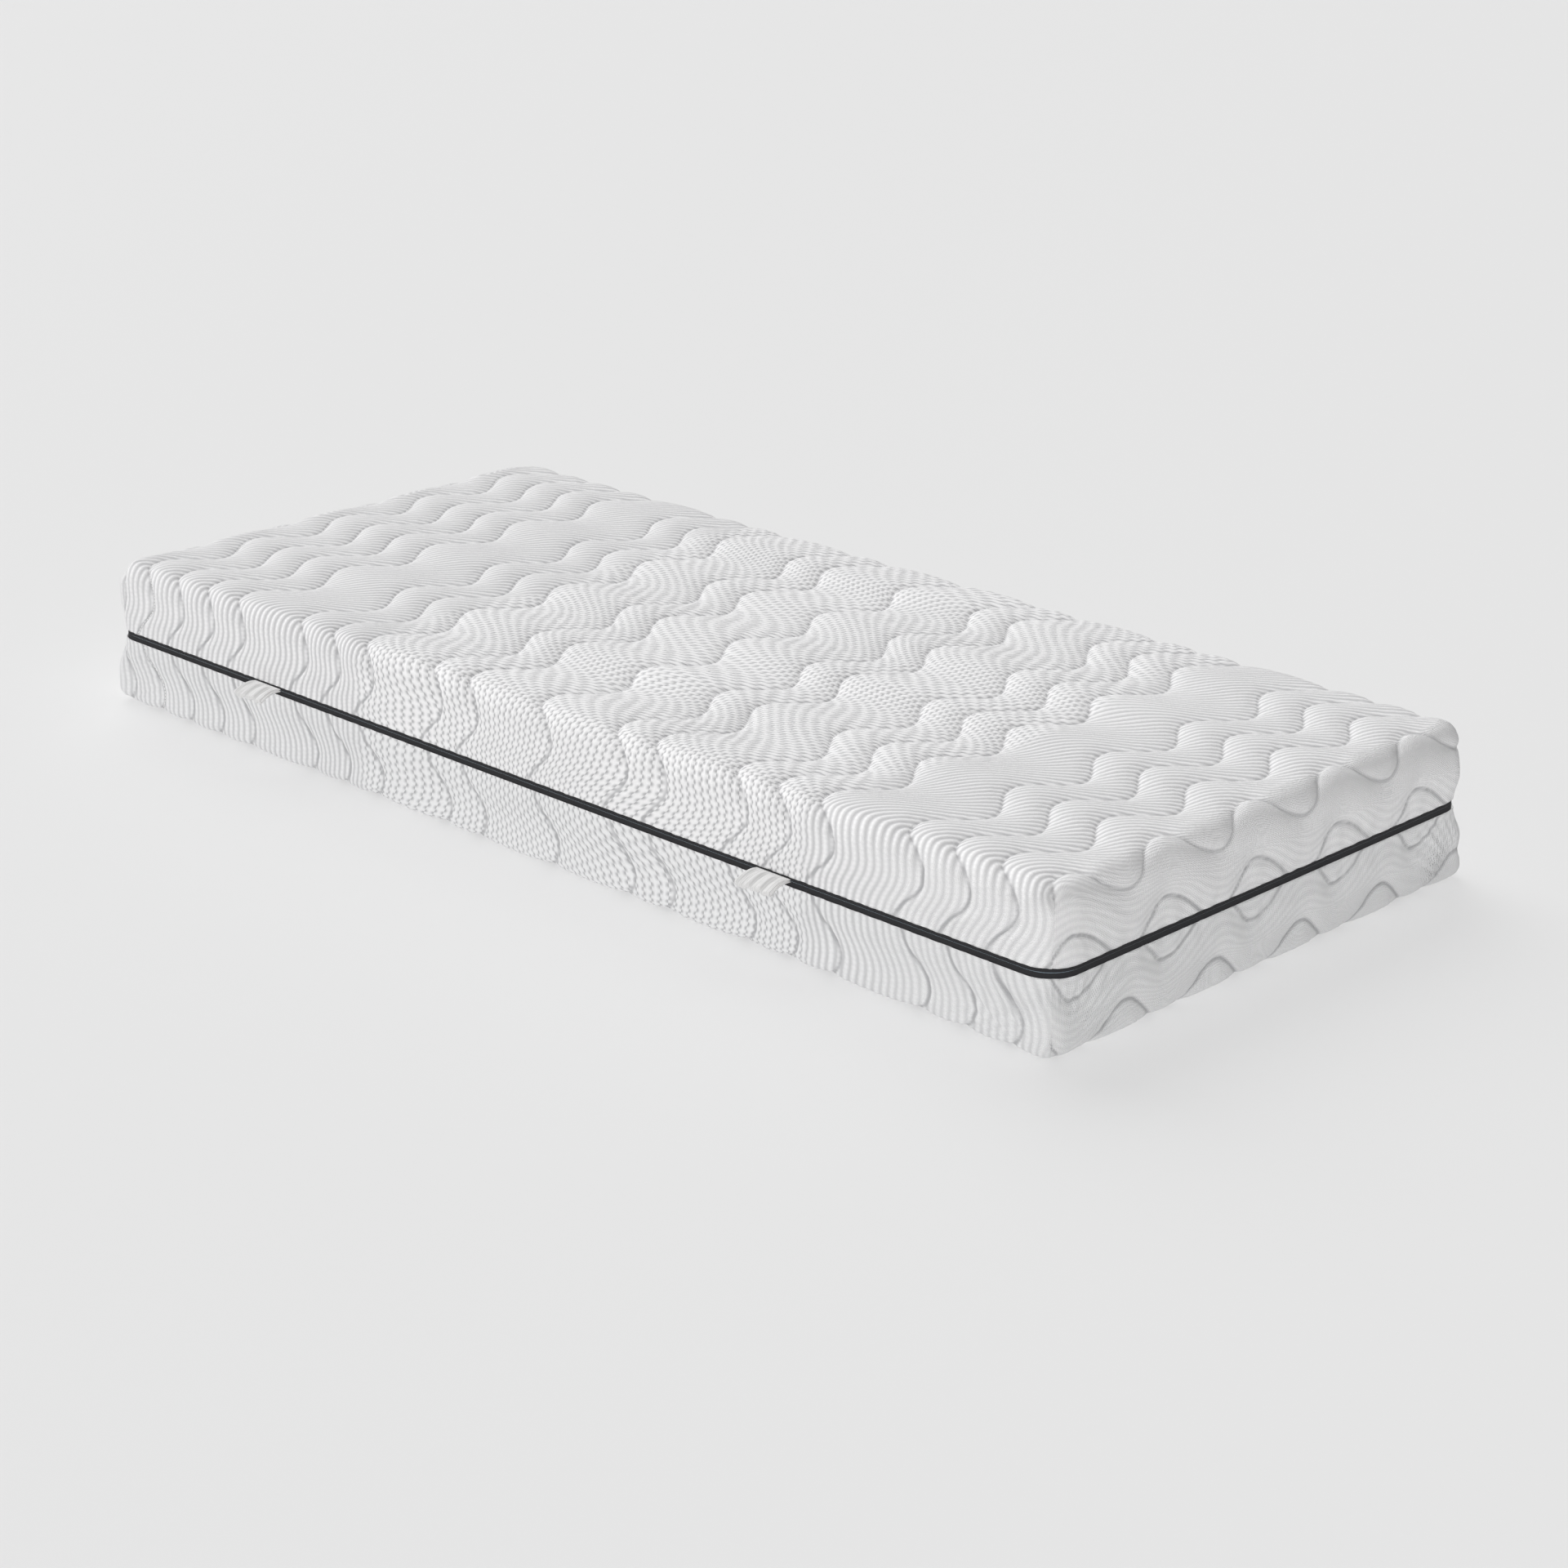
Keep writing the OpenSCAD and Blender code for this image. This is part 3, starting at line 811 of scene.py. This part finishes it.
def plan_normal(x, y):
    """Outward direction of the cover's outline at a place on it."""
    r = settings("quilt").corner_radius
    dx = max(abs(x) - (HALF_L - r), 0.0)
    dy = max(abs(y) - (HALF_W - r), 0.0)
    if dx == 0.0 and dy == 0.0:
        dx, dy = (1.0, 0.0) if HALF_L - abs(x) < HALF_W - abs(y) else (0.0, 1.0)
    size = math.hypot(dx, dy)
    return math.copysign(dx / size, x), math.copysign(dy / size, y)


def make_cover(name, side, body, base, nodes):
    """One half of the cover as a quilted pad; side is 1 for the upper half, -1 for the lower."""
    cover = Cover(side)
    bm, blank = cover_grid(cover)
    quilt_cover(cover, bm, blank)
    close_inside(cover, bm, blank)
    knit = knit_material(name + "_knit", base, cover.line_place(0))
    piece = new_piece(name, bm, knit, body)
    piece.data.materials.append(fleece_material(name + "_wadding", WADDING_COLOUR, 180.0))
    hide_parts(*nodes)
    return piece


# ---------------------------------------------------------------- operators

class MATTRESS_OT_stage(bpy.types.Operator):
    """Camera, floor and soft studio light"""
    bl_idname = "mattress.stage"
    bl_label = "Stage"

    def execute(self, context):
        stage = settings("stage")
        data = bpy.data.cameras.new("camera")
        data.lens = stage.lens
        data.sensor_width = 36.0
        data.clip_end = 500.0
        camera = bpy.data.objects.new("camera", data)
        az, el = math.radians(stage.azimuth), math.radians(stage.elevation)
        back = Vector((math.sin(az) * math.cos(el), -math.cos(az) * math.cos(el), math.sin(el)))
        right = Vector((math.cos(az), math.sin(az), 0.0))
        turn = Matrix((right, back.cross(right), back)).transposed().to_4x4()
        camera.matrix_world = Matrix.Translation(Vector(stage.camera_place)) @ turn
        context.scene.collection.objects.link(camera)
        context.scene.camera = camera
        self.floor(context, stage)
        self.lights(context, stage)
        return {"FINISHED"}

    def floor(self, context, stage):
        bm = bmesh.new()
        bmesh.ops.create_grid(bm, x_segments=4, y_segments=4, size=FLOOR_HALF,
                              matrix=Matrix.Translation((0.0, 0.0, FLOOR_Z)))
        mesh = bpy.data.meshes.new("floor")
        bm.to_mesh(mesh)
        bm.free()
        floor = bpy.data.objects.new("floor", mesh)
        context.scene.collection.objects.link(floor)
        painted = Net("floor").finish(rgb(stage.floor), 0.9,
                                      constants={"Specular IOR Level": 0.1})
        mesh.materials.append(painted)

    def lights(self, context, stage):
        world = bpy.data.worlds.new("studio")
        context.scene.world = world
        world.use_nodes = True
        background = world.node_tree.nodes["Background"]
        background.inputs["Color"].default_value = (1, 1, 1, 1)
        background.inputs["Strength"].default_value = stage.sky
        for name, (toward, angle, shadow) in LAMPS.items():
            data = bpy.data.lights.new(name, "SUN")
            data.energy = getattr(stage, name)
            data.angle = math.radians(angle)
            data.use_shadow = shadow
            light = bpy.data.objects.new(name, data)
            light.rotation_euler = Vector(toward).to_track_quat("-Z", "Y").to_euler()
            context.scene.collection.objects.link(light)
        context.scene.view_settings.view_transform = "Standard"


class MATTRESS_OT_upper_cover(bpy.types.Operator):
    """Quilted upper half of the cover"""
    bl_idname = "mattress.upper_cover"
    bl_label = "Upper cover"

    def execute(self, context):
        make_cover("upper_quilt", 1, "upper_cover", settings("finish").knit,
                   ("upper_knit", "upper_wadding"))
        return {"FINISHED"}


class MATTRESS_OT_lower_cover(bpy.types.Operator):
    """Quilted lower half of the cover"""
    bl_idname = "mattress.lower_cover"
    bl_label = "Lower cover"

    def execute(self, context):
        make_cover("lower_quilt", -1, "lower_cover", settings("finish").knit_lower,
                   ("lower_knit", "lower_wadding"))
        return {"FINISHED"}


class MATTRESS_OT_zip(bpy.types.Operator):
    """Finishes of the zip"""
    bl_idname = "mattress.zip"
    bl_label = "Zip"

    def execute(self, context):
        look = settings("finish")
        tape = tape_material("zip_tape", look.tape)
        coil = coil_material("zip_coil")
        metal = metal_material("zip_metal", look.metal)
        for half in ("upper", "lower"):
            paint_node("zip_tape_" + half, tape)
            paint_node("zip_coil_" + half, coil)
            paint_node("zip_stops_" + half, metal)
        paint_node("zip_slider", metal)
        paint_node("zip_pull", metal)
        return {"FINISHED"}


class MATTRESS_OT_core(bpy.types.Operator):
    """Finishes of the foam core and the backing fleece"""
    bl_idname = "mattress.core"
    bl_label = "Core"

    def execute(self, context):
        look = settings("finish")
        paint_node("memory_foam", foam_material("memory_foam", look.memory_foam, 420.0))
        paint_node("support_foam", foam_material("support_foam", look.support_foam, 300.0))
        paint_node("glue_layer", glue_material("glue"))
        fleece = fleece_material("backing_fleece", look.lining)
        paint_node("upper_backing", fleece)
        paint_node("lower_backing", fleece)
        return {"FINISHED"}


LOOPS = ("front_head", "front_foot", "back_head", "back_foot")


def loop_path(reach, droop):
    """Side view of a loop as (out, down) places, from its upper root round to its lower."""
    u = np.linspace(0, 1, 15)
    top = [(reach * t, 0.0010 * math.sin(math.pi * t) * 3 - droop * t ** 1.6) for t in u]
    low = [(x, z - 0.0062 + 0.0040 * (1 - x / reach)) for x, z in reversed(top)]
    turn = []
    mid = (top[-1][1] + low[0][1]) / 2
    for t in np.linspace(0.2, 0.8, 4):
        angle = math.pi * (0.5 - t)
        turn.append((reach + 0.0031 * math.cos(angle), mid + 0.0031 * math.sin(angle)))
    return top + turn + low


def make_loop(name, cloth):
    """A soft loop of cover cloth with folds running out along it."""
    low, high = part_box("handle_" + name)
    side = -1 if low[1] < 0 else 1
    out_face = min(abs(low[1]), abs(high[1]))
    reach = max(abs(low[1]), abs(high[1])) - out_face - 0.0042
    path = loop_path(reach, high[2] - low[2] - 0.0095)
    width = high[0] - low[0] - 0.0012
    rows, columns = len(path) - 1, LOOP_COLUMNS - 1
    bm = bmesh.new()
    uv = bm.loops.layers.uv.new("cloth")
    bmesh.ops.create_grid(bm, x_segments=rows, y_segments=columns, size=0.5,
                          matrix=Matrix.Diagonal((rows, columns, 1, 1)))
    for vert in bm.verts:
        i = round(vert.co.x + rows / 2)
        w = (vert.co.y + columns / 2) / columns
        out, down = path[i]
        upper = 1.0 if i < len(path) / 2 else -1.0
        free = smooth(0.0, reach * 0.5, out)
        fold = (0.0016 * math.sin(w * 21.0 + 0.6) + 0.0009 * math.sin(w * 37.0 + out * 40)) * free
        skew = 0.002 * math.sin(w * 5.0 + 1.2) * out / reach
        narrow = 1 - 0.03 * math.sin(math.pi * out / reach)
        vert.co = ((low[0] + high[0]) / 2 + (w - 0.5) * width * narrow,
                   side * (out_face + LOOP_THICKNESS + out + skew * 0.6),
                   high[2] - 0.0016 + down + fold + upper * 0.0003 - 0.002 * abs(w - 0.5) * free)
    steps = [math.dist(a, b) for a, b in zip(path, path[1:])]
    lengths = np.concatenate([[0], np.cumsum(steps)])
    outs = np.array([out + LOOP_THICKNESS + out_face for out, _ in path])
    for face in bm.faces:
        for loop in face.loops:
            near = int(np.argmin(np.abs(outs - abs(loop.vert.co.y))))
            loop[uv].uv = (lengths[near], loop.vert.co.x)
    bmesh.ops.recalc_face_normals(bm, faces=bm.faces)
    piece = new_piece("loop_" + name, bm, cloth, "loop_" + name)
    thick = piece.modifiers.new("thickness", "SOLIDIFY")
    thick.thickness = LOOP_THICKNESS
    thick.offset = 0.0
    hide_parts("handle_" + name)
    return piece


class MATTRESS_OT_loops(bpy.types.Operator):
    """Carrying loops sewn into the seam above the zip, and the care label"""
    bl_idname = "mattress.loops"
    bl_label = "Carrying loops"

    def execute(self, context):
        cloth = webbing_material("loop_cloth", LOOP_COLOUR)
        for name in LOOPS:
            make_loop(name, cloth)
        paint_node("care_label", label_material("label"))
        return {"FINISHED"}


class MATTRESS_PT_panel(bpy.types.Panel):
    """Lists the mattress's pieces"""
    bl_idname = "MATTRESS_PT_panel"
    bl_label = "Mattress"
    bl_space_type = "VIEW_3D"
    bl_region_type = "UI"
    bl_category = "Mattress"

    def draw(self, context):
        for operator in OPERATORS:
            self.layout.operator(operator.bl_idname)


OPERATORS = (MATTRESS_OT_stage, MATTRESS_OT_upper_cover, MATTRESS_OT_lower_cover, MATTRESS_OT_zip,
             MATTRESS_OT_core, MATTRESS_OT_loops)
GROUPS = {"mattress_quilt": QuiltSettings, "mattress_finish": FinishSettings,
          "mattress_stage": StageSettings}


def register():
    for group in GROUPS.values():
        bpy.utils.register_class(group)
    for name, group in GROUPS.items():
        setattr(bpy.types.Scene, name, bpy.props.PointerProperty(type=group))
    for cls in (*OPERATORS, MATTRESS_PT_panel):
        bpy.utils.register_class(cls)


def unregister():
    for cls in (MATTRESS_PT_panel, *reversed(OPERATORS)):
        bpy.utils.unregister_class(cls)
    for name, group in GROUPS.items():
        delattr(bpy.types.Scene, name)
        bpy.utils.unregister_class(group)


def main():
    register()
    for operator in OPERATORS:
        group, name = operator.bl_idname.split(".")
        getattr(getattr(bpy.ops, group), name)()


if __name__ == "__main__":
    main()
